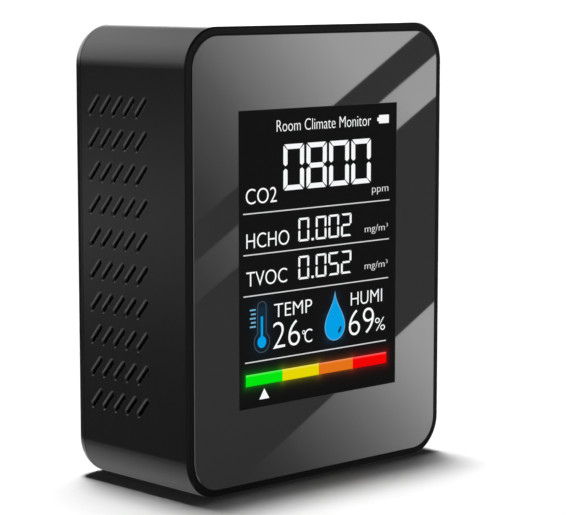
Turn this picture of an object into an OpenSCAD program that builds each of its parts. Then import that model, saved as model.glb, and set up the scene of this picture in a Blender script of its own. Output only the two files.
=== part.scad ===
// Desktop carbon dioxide monitor with a colour screen, side vents, rear power button and charging port.
// Frame: millimetres, +Z up, front facing -Y, origin under the middle of the case on the desk.

/* [Case] */
// Case width across X
case_w = 62; // [56:0.5:70]
// Case height up Z
case_h = 80; // [72:0.5:92]
// Case depth from the front panel to the back
case_d = 31; // [30.5:0.5:40]
// Radius of the case's four long corners
corner_r = 7; // [6:0.25:8]
// Thickness of the case walls
wall = 1.8; // [1.4:0.1:2.2]
// Radius of the rounded rear edge
rear_fillet_r = 2.7; // [1.5:0.1:2.8]
// Width of the rim left around the front panel
rim_w = 1.35; // [1:0.05:1.6]
// How far the panel stands in front of the rim
panel_proud = 0.2; // [0:0.05:0.4]

/* [Front panel and screen] */
// Thickness of the glossy front panel
panel_t = 1.5; // [1:0.1:2]
// Width of the opening for the screen
window_w = 38.5; // [36:0.05:42]
// Height of the opening for the screen
window_h = 51.26; // [48:0.02:54]
// Height of the screen's middle above the desk
window_z = 40.14; // [38:0.02:42]
// Sideways offset of the screen's middle
window_x = -0.2; // [-1:0.05:1]

/* [Side vents] */
// Rows of slots on each side
vent_rows = 10; // [6:1:10]
// Slots in a row
vent_columns = 5; // [3:1:5]
// Distance from row to row
vent_row_pitch = 5.717; // [5.5:0.001:6]
// Distance from slot to slot
vent_column_pitch = 3.146; // [3:0.001:3.6]
// Width of a slot where it goes through the wall
vent_slot_w = 0.75; // [0.6:0.05:1.1]
// Width of a slot's bevelled mouth
vent_mouth_w = 1.25; // [1:0.05:1.8]
// Length of a slot from end to end
vent_slot_l = 4.1; // [3.5:0.02:4.6]
// Slant of the slots away from upright, in degrees
vent_slant = 42; // [0:1:45]

/* [Power button and charging port] */
// Radius of the round power button
button_r = 4; // [3:0.1:4.5]
// Sideways position of the button
button_x = 12.5; // [10:0.5:13]
// Travel of the button
button_travel = 0.25; // [0.2:0.05:0.3]
// Sideways position of the charging port
port_x = -8; // [-9:0.5:-6]
// Height of the button and the port above the desk
port_z = 14; // [13:0.5:15]

/* [Battery] */
// Battery cell width
cell_w = 34; // [28:1:36]
// Battery cell length
cell_l = 45; // [38:1:46]
// Battery cell thickness
cell_t = 8; // [6:0.5:8.5]

/* [Hidden] */
$fn = 64;

cut = 0.5; // how far cutting shapes run past what they cut
fit_gap = 0.08; // gap around a glued-in or dropped-in piece

// Planes along Y, from the front to the back
y_front = -case_d / 2;
y_back = case_d / 2;
y_rim = y_front + panel_proud;
y_panel_back = y_front + panel_t;
tape_t = 0.2;
y_ledge = y_panel_back + tape_t;
ledge_t = 1.3;
y_ledge_back = y_ledge + ledge_t;
y_board = y_ledge_back + 1.35;
board_t = 1.2;
y_board_back = y_board + board_t;
parting_gap = 0.1;
y_parting = y_back - rear_fillet_r - 0.3;
y_cover = y_parting + parting_gap;
cover_t = 1.8;
y_cover_inside = y_back - cover_t;
y_post = y_cover - 1.65;
y_power_board_back = y_cover_inside - 4.85;
power_board_t = 1.6;
y_power_board = y_power_board_back - power_board_t;

// Case walls and corner posts
rim_bevel = 0.3;
panel_bevel = 0.1;
inner_r = corner_r - wall;
mid_z = case_h / 2;
post_x = case_w / 2 - 5.5;
post_z = case_h / 2 - 5.5;
post_r = 2.8;
post_rib_t = 1.2;
post_rib_h = 4.8;
cover_boss_r = 3;
case_screw_r = 1.1;
case_screw_head_r = 2.1;
case_screw_head_t = 1.3;
screw_gap = 0.05;
counterbore_depth = 2;
counterbore_r = 2.4;
lip_t = 1;
lip_reach = 1.2;
lip_gap = 0.1;
side_x = case_w / 2;
vent_margin = 3.46; // from the parting line to the middle of the rearmost slot
vent_rise = 0.53; // how far the middle of the vents sits above the case's

// Display stack, from the lens back to the light guide
lens_inset = 0.05;
lens_gap = 0.05;
polariser_t = 0.2;
polariser_margin = 0.6;
glass_t = 0.55;
display_w = 42.7;
display_top_z = window_z + 26.8;
display_bottom_z = window_z - 33.1;
screen_opening_margin = 0.3;
screen_opening_below = 2.6; // room under the glass for the flat cable
screen_opening_w = display_w + 2 * screen_opening_margin;
screen_opening_h = display_top_z + screen_opening_margin - display_bottom_z + screen_opening_below;
front_glass_bottom_z = window_z - 27.9;
y_polariser = y_ledge;
y_front_glass = y_polariser + polariser_t;
y_rear_glass = y_front_glass + glass_t;
y_backlight = y_rear_glass + glass_t;
backlight_t = 1.35;
backlight_wall = 0.9;
backlight_floor = 0.3;
y_backlight_back = y_backlight + backlight_t;
light_guide_t = 0.8;
led_strip_h = 1.6;
flex_t = 0.15;
flex_w = 24;
flex_bend_r = 1.2;
flex_start_z = display_bottom_z + 1.6;
y_flex = y_rear_glass - flex_t / 2;
y_flex_back = y_board_back + 1.25;
flex_bend_z = display_bottom_z;
flex_end_z = display_bottom_z + 5.2;

// Main board and its screws
board_w = 57;
board_bottom_z = 8.8;
board_top_z = 71.2;
board_screw_x = 25.4;
board_screw_low_z = 20;
board_screw_high_z = 60;
board_boss_r = 2.2;
board_screw_r = 0.85;
board_screw_head_r = 1.7;
board_screw_head_t = 1.2;
board_screw_l = 3.4;

// Sensors on the back of the main board
co2_x = -17.3;
co2_z = 50.5;
co2_w = 20;
co2_h = 33;
co2_board_t = 1.2;
y_co2_board = y_board_back + 2.5;
y_co2_chamber = y_co2_board + co2_board_t;
co2_chamber_t = 7.6;
y_co2_filter = y_co2_chamber + co2_chamber_t;
hcho_x = 17;
hcho_z = 52;
hcho_r = 7.5;
hcho_t = 8.5;
tvoc_x = 17;
tvoc_z = 33;
tvoc_r = 4.6;
tvoc_base_t = 1.5;
tvoc_cap_t = 5.5;
humidity_x = -15.5;
humidity_z = 22.6;

// Header that joins the two boards
link_x = 4;
link_z = 18;
link_pitch = 2;
link_pins = 4;
link_body_w = 8.4;
link_body_h = 2.6;
link_body_t = 4;

// Power board and what it carries
power_board_w = 44;
power_board_bottom_z = 5;
power_board_top_z = 23;
power_screw_x = 19.5;
power_screw_z = 20;
power_boss_r = 2.1;
port_w = 8.94;
port_h = 3.26;
port_shell_t = 0.3;
port_recess = 0.4;
port_opening_gap = 0.3;
y_port_mouth = y_back - port_recess;
tongue_w = 6.69;
tongue_t = 0.7;
tongue_base_t = 1.6;
tongue_recess = 0.6;
switch_w = 6.2;
switch_body_t = 2.9;
switch_cover_t = 0.25;
plunger_r = 1.7;
plunger_gap = 0.1;
plunger_foot = 1;
y_switch_cover = y_power_board_back + switch_body_t;
button_recess = 0.1;
button_gap = 0.15;
button_flange_r = 5;
button_flange_t = 1;
button_play = 0.05;
y_button_flange = y_cover_inside - button_play - button_flange_t;
y_button_face = y_back - button_recess;

// Battery, against the inside of the back cover
battery_pad_t = 1;
y_battery_back = y_cover_inside - battery_pad_t;
y_battery = y_battery_back - cell_t;
battery_circuit_l = 4;
battery_bottom_z = 26;
battery_z = battery_bottom_z + battery_circuit_l;
lead_r = 0.6;
lead_bend_r = 1.5;
lead_x = -6;
lead_pitch = 2.5;
y_lead_top = y_battery + cell_t / 2;
socket_w = 7.4;
socket_l = 6;
socket_t = 4.2;
socket_bottom_z = 14.5;
y_socket = y_power_board - socket_t;
y_plug = y_power_board - 2.1;

// ---------- shared shapes ----------

// Rounded rectangle about the middle, with true arcs
module round_rect(w, h, r)
{
    square([w - 2 * r, h], center = true);
    square([w, h - 2 * r], center = true);
    for (sx = [-1, 1])
        for (sz = [-1, 1])
            translate([sx * (w / 2 - r), sz * (h / 2 - r)])
                circle(r);
}

// Turns an outline in X and Z into a slab from y0 to y1
module slab(y0, y1)
{
    translate([0, y1, 0])
        rotate([90, 0, 0])
            linear_extrude(y1 - y0)
                children();
}

// A box between two corners
module box(low, high)
{
    translate(low)
        cube(high - low);
}

// A cylinder along Y from y0 to y1
module pin_y(x, z, r, y0, y1)
{
    translate([x, y1, z])
        rotate([90, 0, 0])
            cylinder(h = y1 - y0, r = r);
}

// Rounded-rectangle body about mid_z whose edge section, r wide, is the child outline:
// outwards along its X, front to back along its Y
module edged_body(w, h, r, y0, y1)
{
    translate([0, 0, mid_z])
    {
        box([r - w / 2, y0, r - h / 2], [w / 2 - r, y1, h / 2 - r]);
        for (side = [0, 1])
            mirror([side, 0, 0])
                translate([w / 2 - r, 0, r - h / 2])
                    linear_extrude(h - 2 * r)
                        children();
        for (side = [0, 1])
            mirror([0, 0, side])
                translate([r - w / 2, 0, h / 2 - r])
                    rotate([90, 0, 90])
                        linear_extrude(w - 2 * r)
                            mirror([1, -1])
                                children();
        for (side = [0, 1])
            for (end = [0, 1])
                mirror([side, 0, 0])
                    mirror([0, 0, end])
                        translate([w / 2 - r, 0, r - h / 2])
                            rotate([-90, 0, 0])
                                rotate_extrude(angle = 90)
                                    children();
    }
}

// The four corner screw places
module at_posts()
{
    for (sx = [-1, 1])
        for (sz = [-1, 1])
            translate([sx * post_x, 0, mid_z + sz * post_z])
                children();
}

// The four main board screw places
module at_board_screws()
{
    for (sx = [-1, 1])
        for (z = [board_screw_low_z, board_screw_high_z])
            translate([sx * board_screw_x, 0, z])
                children();
}

// Pan-head screw along Y: head at y_head and further back, shank towards the front
module screw_y(shank_r, head_r, head_t, shank_l, y_head)
{
    recess_w = 0.45 * shank_r;
    difference()
    {
        union()
        {
            pin_y(0, 0, head_r, y_head, y_head + head_t);
            pin_y(0, 0, shank_r, y_head - shank_l, y_head);
        }
        for (turn = [0, 90])
            translate([0, y_head + head_t, 0])
                rotate([0, turn, 0])
                    cube([head_r * 1.2, head_t, recess_w], center = true);
    }
}

// ---------- case ----------

// One slanted slot through the left wall, with a bevel all round its mouth
module vent_slot()
{
    straight = vent_slot_l - vent_slot_w;
    mouth_r = vent_mouth_w / 2;
    rotate([vent_slant, 0, 0])
    {
        rotate([0, 90, 0])
            linear_extrude(2 * wall + cut, center = true)
            {
                square([straight, vent_slot_w], center = true);
                for (end = [-1, 1])
                    translate([end * straight / 2, 0])
                        circle(d = vent_slot_w);
            }
        rotate([0, 0, 45])
            cube([mouth_r * sqrt(2), mouth_r * sqrt(2), straight], center = true);
        for (end = [-1, 1])
            translate([-cut, 0, end * straight / 2])
                rotate([0, 90, 0])
                    cylinder(h = mouth_r + cut, r1 = mouth_r + cut, r2 = 0);
    }
}

module vents()
{
    rows_h = (vent_rows - 1) * vent_row_pitch;
    first_y = y_parting - vent_margin;
    first_z = mid_z + rows_h / 2 + vent_rise;
    for (row = [0 : vent_rows - 1])
        for (column = [0 : vent_columns - 1])
            translate([-side_x, first_y - column * vent_column_pitch, first_z - row * vent_row_pitch])
                vent_slot();
}

module housing()
{
    color([0.13, 0.13, 0.135])
        difference()
        {
            union()
            {
                difference()
                {
                    edged_body(case_w, case_h, corner_r, y_rim, y_parting)
                        polygon([[0, y_rim], [corner_r - rim_bevel, y_rim], [corner_r, y_rim + rim_bevel],
                                 [corner_r, y_parting], [0, y_parting]]);
                    translate([0, 0, mid_z])
                        slab(y_rim - cut, y_ledge)
                            round_rect(case_w - 2 * rim_w, case_h - 2 * rim_w, corner_r - rim_w);
                    translate([0, 0, mid_z])
                        slab(y_ledge_back, y_parting + cut)
                            round_rect(case_w - 2 * wall, case_h - 2 * wall, inner_r);
                    vents();
                    mirror([1, 0, 0])
                        vents();
                }
                at_posts()
                    pin_y(0, 0, post_r, y_ledge_back - cut, y_post);
                for (sx = [-1, 1])
                    for (z = [wall + 2, case_h - wall - 2])
                        box([sx * post_x - post_rib_t / 2, y_ledge_back - cut, z - post_rib_h / 2],
                            [sx * post_x + post_rib_t / 2, y_post - 1, z + post_rib_h / 2]);
                at_board_screws()
                    pin_y(0, 0, board_boss_r, y_ledge_back - cut, y_board);
            }
            slab(y_ledge - cut, y_ledge_back + cut)
                translate([window_x - screen_opening_w / 2, display_bottom_z - screen_opening_below])
                    square([screen_opening_w, screen_opening_h]);
            at_posts()
                pin_y(0, 0, case_screw_r + screw_gap, y_post - 7.5, y_post + cut);
            at_board_screws()
                pin_y(0, 0, board_screw_r + screw_gap, y_ledge_back - 0.8, y_board + cut);
        }
}

module back_cover()
{
    arc_y = y_back - rear_fillet_r;
    flat_u = corner_r - rear_fillet_r;
    color([0.13, 0.13, 0.135])
        difference()
        {
            union()
            {
                difference()
                {
                    edged_body(case_w, case_h, corner_r, y_cover, y_back)
                    {
                        translate([0, y_cover])
                            square([corner_r, arc_y - y_cover]);
                        translate([0, arc_y])
                            square([flat_u, rear_fillet_r]);
                        intersection()
                        {
                            translate([flat_u, arc_y])
                                circle(rear_fillet_r);
                            translate([flat_u, arc_y])
                                square(rear_fillet_r + cut);
                        }
                    }
                    translate([0, 0, mid_z])
                        slab(y_cover - cut, y_cover_inside)
                            round_rect(case_w - 2 * wall, case_h - 2 * wall, inner_r);
                }
                translate([0, 0, mid_z])
                    slab(y_cover - lip_reach, y_cover_inside + cut)
                        difference()
                        {
                            round_rect(case_w - 2 * (wall + lip_gap), case_h - 2 * (wall + lip_gap),
                                       inner_r - lip_gap);
                            round_rect(case_w - 2 * (wall + lip_gap + lip_t),
                                       case_h - 2 * (wall + lip_gap + lip_t),
                                       inner_r - lip_gap - lip_t);
                        }
                at_posts()
                    pin_y(0, 0, cover_boss_r, y_post, y_cover_inside + cut);
                for (sx = [-1, 1])
                    pin_y(sx * power_screw_x, power_screw_z, power_boss_r, y_power_board_back,
                          y_cover_inside + cut);
            }
            at_posts()
            {
                pin_y(0, 0, case_screw_r + 0.2, y_post - cut, y_back + cut);
                pin_y(0, 0, counterbore_r, y_back - counterbore_depth, y_back + cut);
            }
            for (sx = [-1, 1])
                pin_y(sx * power_screw_x, power_screw_z, board_screw_r + screw_gap,
                      y_power_board_back - cut, y_cover_inside);
            pin_y(button_x, port_z, button_r + button_gap, y_cover_inside - cut, y_back + cut);
            translate([port_x, 0, port_z])
                slab(y_cover_inside - cut, y_back + cut)
                    round_rect(port_w + 2 * port_opening_gap, port_h + 2 * port_opening_gap,
                               port_h / 2 + port_opening_gap - 0.02);
        }
}

module case_screws()
{
    color([0.35, 0.35, 0.36])
        at_posts()
            screw_y(case_screw_r, case_screw_head_r, case_screw_head_t, 8, y_back - counterbore_depth);
}

// ---------- front panel and display ----------

module front_panel()
{
    w = case_w - 2 * (rim_w + fit_gap);
    h = case_h - 2 * (rim_w + fit_gap);
    r = corner_r - rim_w - fit_gap;
    color([0.05, 0.05, 0.055])
        difference()
        {
            edged_body(w, h, r, y_front, y_panel_back)
                polygon([[0, y_front], [r - panel_bevel, y_front], [r, y_front + panel_bevel],
                         [r, y_panel_back], [0, y_panel_back]]);
            translate([window_x, 0, window_z])
                slab(y_front - cut, y_panel_back + cut)
                    square([window_w, window_h], center = true);
        }
}

module panel_tape()
{
    w = case_w - 2 * rim_w - 1.6;
    h = case_h - 2 * rim_w - 1.6;
    color([0.2, 0.2, 0.22])
        slab(y_panel_back, y_ledge)
            difference()
            {
                translate([0, mid_z])
                    round_rect(w, h, corner_r - rim_w - 0.8);
                translate([window_x - display_w / 2 - 0.8, display_bottom_z - 3.1])
                    square([display_w + 1.6, display_top_z - display_bottom_z + 3.9]);
            }
}

module screen_lens()
{
    color([0.02, 0.02, 0.025])
        translate([window_x, 0, window_z])
            slab(y_front + lens_inset, y_polariser)
                square([window_w - 2 * lens_gap, window_h - 2 * lens_gap], center = true);
}

module display_polariser()
{
    color([0.08, 0.08, 0.1])
        translate([window_x, 0, window_z])
            slab(y_polariser, y_front_glass)
                square([window_w + 2 * polariser_margin, window_h + 2 * polariser_margin], center = true);
}

module display_glass()
{
    color([0.35, 0.42, 0.42])
    {
        slab(y_front_glass, y_rear_glass)
            translate([window_x - display_w / 2, front_glass_bottom_z])
                square([display_w, display_top_z - front_glass_bottom_z]);
        slab(y_rear_glass, y_backlight)
            translate([window_x - display_w / 2, display_bottom_z])
                square([display_w, display_top_z - display_bottom_z]);
    }
}

module display_driver_chip()
{
    chip_w = 17;
    chip_h = 1.3;
    chip_t = 0.4;
    z = front_glass_bottom_z - 1.9;
    color([0.1, 0.1, 0.12])
        box([window_x - chip_w / 2, y_rear_glass - chip_t, z - chip_h / 2],
            [window_x + chip_w / 2, y_rear_glass, z + chip_h / 2]);
}

module backlight_frame()
{
    color([0.9, 0.9, 0.88])
        difference()
        {
            slab(y_backlight, y_backlight_back)
                translate([window_x - display_w / 2, display_bottom_z])
                    square([display_w, display_top_z - display_bottom_z]);
            slab(y_backlight - cut, y_backlight_back - backlight_floor)
                translate([window_x - display_w / 2 + backlight_wall, display_bottom_z + backlight_wall])
                    square([display_w - 2 * backlight_wall,
                            display_top_z - display_bottom_z - 2 * backlight_wall]);
        }
}

module light_guide()
{
    low_z = display_bottom_z + backlight_wall + led_strip_h;
    color([0.85, 0.9, 0.95])
        slab(y_backlight_back - backlight_floor - light_guide_t, y_backlight_back - backlight_floor)
            translate([window_x - display_w / 2 + backlight_wall + 0.1, low_z])
                square([display_w - 2 * backlight_wall - 0.2,
                        display_top_z - backlight_wall - 0.1 - low_z]);
}

module backlight_leds()
{
    led_w = 3;
    led_h = 0.9;
    led_t = 0.6;
    low_z = display_bottom_z + backlight_wall + 0.4;
    color([0.95, 0.9, 0.6])
        for (i = [-1.5 : 1 : 1.5])
            translate([window_x + i * 9, 0, 0])
                box([-led_w / 2, y_backlight_back - backlight_floor - led_t, low_z],
                    [led_w / 2, y_backlight_back - backlight_floor, low_z + led_h]);
}

// Ribbon from the rear glass, round the main board's lower edge, into its connector
module display_flex()
{
    color([0.75, 0.45, 0.12])
        translate([window_x - flex_w / 2, 0, 0])
            rotate([90, 0, 90])
                linear_extrude(flex_w)
                {
                    translate([y_flex - flex_t / 2, flex_bend_z])
                        square([flex_t, flex_start_z - flex_bend_z]);
                    translate([y_flex + flex_bend_r, flex_bend_z - flex_bend_r - flex_t / 2])
                        square([y_flex_back - y_flex - 2 * flex_bend_r, flex_t]);
                    translate([y_flex_back - flex_t / 2, flex_bend_z])
                        square([flex_t, flex_end_z - flex_bend_z]);
                    for (side = [-1, 1])
                        translate([side < 0 ? y_flex + flex_bend_r : y_flex_back - flex_bend_r, flex_bend_z])
                            intersection()
                            {
                                difference()
                                {
                                    circle(flex_bend_r + flex_t / 2);
                                    circle(flex_bend_r - flex_t / 2);
                                }
                                translate([side < 0 ? -2 * flex_bend_r : 0, -2 * flex_bend_r])
                                    square(2 * flex_bend_r);
                            }
                }
}

module flex_connector()
{
    body_t = 2;
    body_h = 4;
    body_w = flex_w + 4;
    color([0.92, 0.9, 0.84])
        difference()
        {
            box([window_x - body_w / 2, y_board_back, flex_end_z - 2],
                [window_x + body_w / 2, y_board_back + body_t, flex_end_z - 2 + body_h]);
            box([window_x - flex_w / 2 - 0.2, y_flex_back - flex_t / 2 - 0.1, flex_end_z - 2 - cut],
                [window_x + flex_w / 2 + 0.2, y_flex_back + flex_t / 2 + 0.1, flex_end_z + 0.1]);
        }
}

// ---------- main board ----------

module main_board()
{
    color([0.05, 0.3, 0.15])
        difference()
        {
            slab(y_board, y_board_back)
                translate([0, (board_bottom_z + board_top_z) / 2])
                    round_rect(board_w, board_top_z - board_bottom_z, 1.5);
            at_board_screws()
                pin_y(0, 0, board_screw_r + 0.15, y_board - cut, y_board_back + cut);
        }
}

module main_board_screws()
{
    color([0.7, 0.7, 0.68])
        at_board_screws()
            screw_y(board_screw_r, board_screw_head_r, board_screw_head_t, board_screw_l - board_t + 0.6,
                    y_board_back);
}

// Square chip body with a row of legs on each side
module controller_chip()
{
    body_w = 9;
    body_t = 1.3;
    leg_w = 0.35;
    leg_l = 1;
    leg_t = 0.2;
    leg_pitch = 0.8;
    legs = 9;
    x = 2;
    z = 44;
    color([0.08, 0.08, 0.09])
        translate([x, y_board_back, z])
        {
            translate([-body_w / 2, leg_t, -body_w / 2])
                cube([body_w, body_t, body_w]);
            for (turn = [0 : 90 : 270])
                rotate([0, turn, 0])
                    for (i = [0 : legs - 1])
                        translate([(i - (legs - 1) / 2) * leg_pitch - leg_w / 2, 0, body_w / 2 - 0.4])
                            cube([leg_w, leg_t + 0.3, leg_l + 0.4]);
        }
}

module memory_chip()
{
    chip_w = 5.2;
    chip_h = 4;
    chip_t = 1.5;
    leg_w = 0.4;
    leg_l = 1;
    x = 2;
    z = 60;
    color([0.08, 0.08, 0.09])
        translate([x, y_board_back, z])
        {
            translate([-chip_w / 2, 0.1, -chip_h / 2])
                cube([chip_w, chip_t, chip_h]);
            for (sz = [-1, 1])
                for (i = [-1.5 : 1 : 1.5])
                    translate([i * 1.27 - leg_w / 2, 0, sz > 0 ? chip_h / 2 - 0.3 : -chip_h / 2 - leg_l])
                        cube([leg_w, 0.4, leg_l + 0.3]);
        }
}

module board_capacitors()
{
    cap_l = 2;
    cap_w = 1.25;
    cap_t = 0.9;
    color([0.55, 0.42, 0.28])
        for (i = [0 : 3])
        {
            translate([-3.5 + 3.4 * i, y_board_back, 53])
                cube([cap_l, cap_t, cap_w]);
            translate([-3.5 + 3.4 * i, y_board_back, 34])
                cube([cap_l, cap_t, cap_w]);
        }
}

// ---------- sensors ----------

module co2_sensor_board()
{
    color([0.06, 0.2, 0.4])
        translate([co2_x, 0, co2_z])
            slab(y_co2_board, y_co2_chamber)
                round_rect(co2_w, co2_h, 0.8);
}

module co2_sensor_pins()
{
    pin_r = 0.35;
    pin_pitch = 2.54;
    color([0.85, 0.7, 0.3])
        for (i = [0 : 4])
            pin_y(co2_x + (i - 2) * pin_pitch, co2_z - co2_h / 2 + 1.6, pin_r, y_board_back, y_co2_board);
}

module co2_sensor_chamber()
{
    margin = 1;
    color([0.8, 0.62, 0.25])
        translate([co2_x, 0, co2_z])
        {
            slab(y_co2_chamber, y_co2_filter)
                round_rect(co2_w - 2 * margin, co2_h - 6 * margin, 2);
            slab(y_co2_chamber, y_co2_filter - 3)
                round_rect(co2_w - 4 * margin, co2_h - 2 * margin, 1);
        }
}

module co2_sensor_filters()
{
    color([0.95, 0.95, 0.93])
        for (side = [-1, 1])
            translate([co2_x, 0, co2_z + side * 6])
                slab(y_co2_filter, y_co2_filter + 0.5)
                    round_rect(12, 6, 1);
}

module hcho_sensor_can()
{
    rim = 1.1;
    color([0.88, 0.88, 0.86])
        difference()
        {
            pin_y(hcho_x, hcho_z, hcho_r, y_board_back, y_board_back + hcho_t);
            pin_y(hcho_x, hcho_z, hcho_r - rim, y_board_back + hcho_t - 0.8, y_board_back + hcho_t + cut);
        }
}

module hcho_sensor_filter()
{
    color([0.97, 0.97, 0.95])
        pin_y(hcho_x, hcho_z, hcho_r - 1.2, y_board_back + hcho_t - 0.8, y_board_back + hcho_t - 0.3);
}

module tvoc_sensor_base()
{
    color([0.12, 0.12, 0.12])
        pin_y(tvoc_x, tvoc_z, tvoc_r + 0.3, y_board_back, y_board_back + tvoc_base_t);
}

// Metal cap with a ring of breather holes round a middle one
module tvoc_sensor_cap()
{
    y_base = y_board_back + tvoc_base_t;
    cap_wall = 0.4;
    color([0.75, 0.75, 0.74])
        difference()
        {
            pin_y(tvoc_x, tvoc_z, tvoc_r, y_base, y_base + tvoc_cap_t);
            pin_y(tvoc_x, tvoc_z, tvoc_r - cap_wall, y_base - cut, y_base + tvoc_cap_t - cap_wall);
            pin_y(tvoc_x, tvoc_z, 0.6, y_base, y_base + tvoc_cap_t + cut);
            for (turn = [0 : 60 : 300])
                pin_y(tvoc_x + 2.2 * cos(turn), tvoc_z + 2.2 * sin(turn), 0.6, y_base,
                      y_base + tvoc_cap_t + cut);
        }
}

// Slotted case of the temperature and humidity sensor
module humidity_sensor()
{
    w = 12;
    h = 15;
    t = 5.2;
    grille_t = 1.4;
    slit_pitch = 2.4;
    slit_h = 1.1;
    color([0.93, 0.94, 0.95])
        translate([humidity_x, 0, humidity_z])
            difference()
            {
                slab(y_board_back, y_board_back + t)
                    round_rect(w, h, 0.8);
                for (i = [-2 : 2])
                    translate([0, y_board_back + t, i * slit_pitch])
                        cube([w - 3, 2 * grille_t, slit_h], center = true);
            }
}

// ---------- header between the boards ----------

module link_header()
{
    pin_w = 0.5;
    color([0.1, 0.1, 0.11])
        translate([link_x, 0, link_z])
        {
            box([-link_body_w / 2, y_board_back, -link_body_h / 2],
                [link_body_w / 2, y_board_back + link_body_t, link_body_h / 2]);
            for (i = [0 : link_pins - 1])
                translate([(i - (link_pins - 1) / 2) * link_pitch, 0, 0])
                    box([-pin_w / 2, y_board_back + link_body_t - 1, -pin_w / 2],
                        [pin_w / 2, y_power_board - 0.8, pin_w / 2]);
        }
}

module link_socket()
{
    hole_w = 0.6;
    color([0.1, 0.1, 0.11])
        translate([link_x, 0, link_z])
            difference()
            {
                box([-link_body_w / 2, y_power_board - link_body_t, -link_body_h / 2],
                    [link_body_w / 2, y_power_board, link_body_h / 2]);
                for (i = [0 : link_pins - 1])
                    translate([(i - (link_pins - 1) / 2) * link_pitch, 0, 0])
                        box([-hole_w / 2, y_power_board - link_body_t - cut, -hole_w / 2],
                            [hole_w / 2, y_power_board - 0.7, hole_w / 2]);
            }
}

// ---------- power board ----------

module power_board()
{
    color([0.05, 0.3, 0.15])
        difference()
        {
            slab(y_power_board, y_power_board_back)
                translate([0, (power_board_bottom_z + power_board_top_z) / 2])
                    round_rect(power_board_w, power_board_top_z - power_board_bottom_z, 1);
            for (sx = [-1, 1])
                pin_y(sx * power_screw_x, power_screw_z, board_screw_r + 0.15, y_power_board - cut,
                      y_power_board_back + cut);
        }
}

module power_board_screws()
{
    color([0.7, 0.7, 0.68])
        for (sx = [-1, 1])
            translate([sx * power_screw_x, 2 * y_power_board, power_screw_z])
                mirror([0, 1, 0])
                    screw_y(board_screw_r, board_screw_head_r, board_screw_head_t, 5, y_power_board);
}

module usb_port_shell()
{
    color([0.72, 0.72, 0.72])
        translate([port_x, 0, port_z])
            difference()
            {
                slab(y_power_board_back, y_port_mouth)
                    round_rect(port_w, port_h, port_h / 2 - 0.02);
                slab(y_power_board_back + tongue_base_t, y_port_mouth + cut)
                    round_rect(port_w - 2 * port_shell_t, port_h - 2 * port_shell_t,
                               port_h / 2 - port_shell_t - 0.02);
            }
}

// Tongue with its contacts, on an insulating base
module usb_port_tongue()
{
    contact_w = 0.25;
    contact_pitch = 0.5;
    y_base = y_power_board_back + tongue_base_t;
    y_tip = y_port_mouth - tongue_recess;
    color([0.12, 0.12, 0.12])
        translate([port_x, 0, port_z])
        {
            slab(y_base, y_base + 0.8)
                round_rect(port_w - 2 * port_shell_t - 0.06, port_h - 2 * port_shell_t - 0.06,
                           port_h / 2 - port_shell_t - 0.05);
            box([-tongue_w / 2, y_base, -tongue_t / 2], [tongue_w / 2, y_tip, tongue_t / 2]);
            for (i = [-5.5 : 1 : 5.5])
                translate([i * contact_pitch - contact_w / 2, y_base, -tongue_t / 2 - 0.06])
                    cube([contact_w, y_tip - y_base - 0.4, tongue_t + 0.12]);
        }
}

module charger_chip()
{
    chip_w = 4.9;
    chip_h = 3.9;
    chip_t = 1.5;
    color([0.08, 0.08, 0.09])
        translate([2.5, y_power_board_back, 20])
        {
            translate([-chip_w / 2, 0.1, -chip_h / 2])
                cube([chip_w, chip_t, chip_h]);
            for (sz = [-1, 1])
                for (i = [-1.5 : 1 : 1.5])
                    translate([i * 1.27 - 0.2, 0, sz > 0 ? chip_h / 2 - 0.3 : -chip_h / 2 - 0.8])
                        cube([0.4, 0.4, 1.1]);
        }
}

module switch_body()
{
    color([0.1, 0.1, 0.1])
        difference()
        {
            box([button_x - switch_w / 2, y_power_board_back, port_z - switch_w / 2],
                [button_x + switch_w / 2, y_switch_cover, port_z + switch_w / 2]);
            pin_y(button_x, port_z, plunger_r + plunger_gap, y_switch_cover - 1.6, y_switch_cover + cut);
        }
}

module switch_cover()
{
    color([0.78, 0.78, 0.77])
        difference()
        {
            box([button_x - switch_w / 2, y_switch_cover, port_z - switch_w / 2],
                [button_x + switch_w / 2, y_switch_cover + switch_cover_t, port_z + switch_w / 2]);
            pin_y(button_x, port_z, plunger_r + plunger_gap, y_switch_cover - cut,
                  y_switch_cover + switch_cover_t + cut);
        }
}

module switch_plunger()
{
    color([0.15, 0.15, 0.15])
        pin_y(button_x, port_z, plunger_r, y_switch_cover - plunger_foot, y_button_flange);
}

// Round cap with a shallow finger dish, held behind the cover by its flange
module power_button()
{
    dish_r = 2.6;
    dish_depth = 0.3;
    color([0.2, 0.2, 0.21])
        difference()
        {
            union()
            {
                pin_y(button_x, port_z, button_flange_r, y_button_flange,
                      y_button_flange + button_flange_t);
                pin_y(button_x, port_z, button_r, y_button_flange, y_button_face);
            }
            pin_y(button_x, port_z, dish_r, y_button_face - dish_depth, y_button_face + cut);
        }
}

// ---------- battery ----------

module battery_cell()
{
    edge_r = 1.5;
    color([0.72, 0.73, 0.75])
        translate([0, (y_battery + y_battery_back) / 2, battery_z])
            linear_extrude(cell_l)
                round_rect(cell_w, cell_t, edge_r);
}

module battery_circuit_end()
{
    shrink = 0.8;
    color([0.85, 0.6, 0.12])
        box([-cell_w / 2 + 1, y_battery + shrink, battery_bottom_z],
            [cell_w / 2 - 1, y_battery_back - shrink, battery_z]);
}

module battery_pad()
{
    color([0.3, 0.3, 0.3])
        box([-cell_w / 2 + 4, y_battery_back, battery_z + 4],
            [cell_w / 2 - 4, y_cover_inside, battery_z + cell_l - 4]);
}

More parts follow.
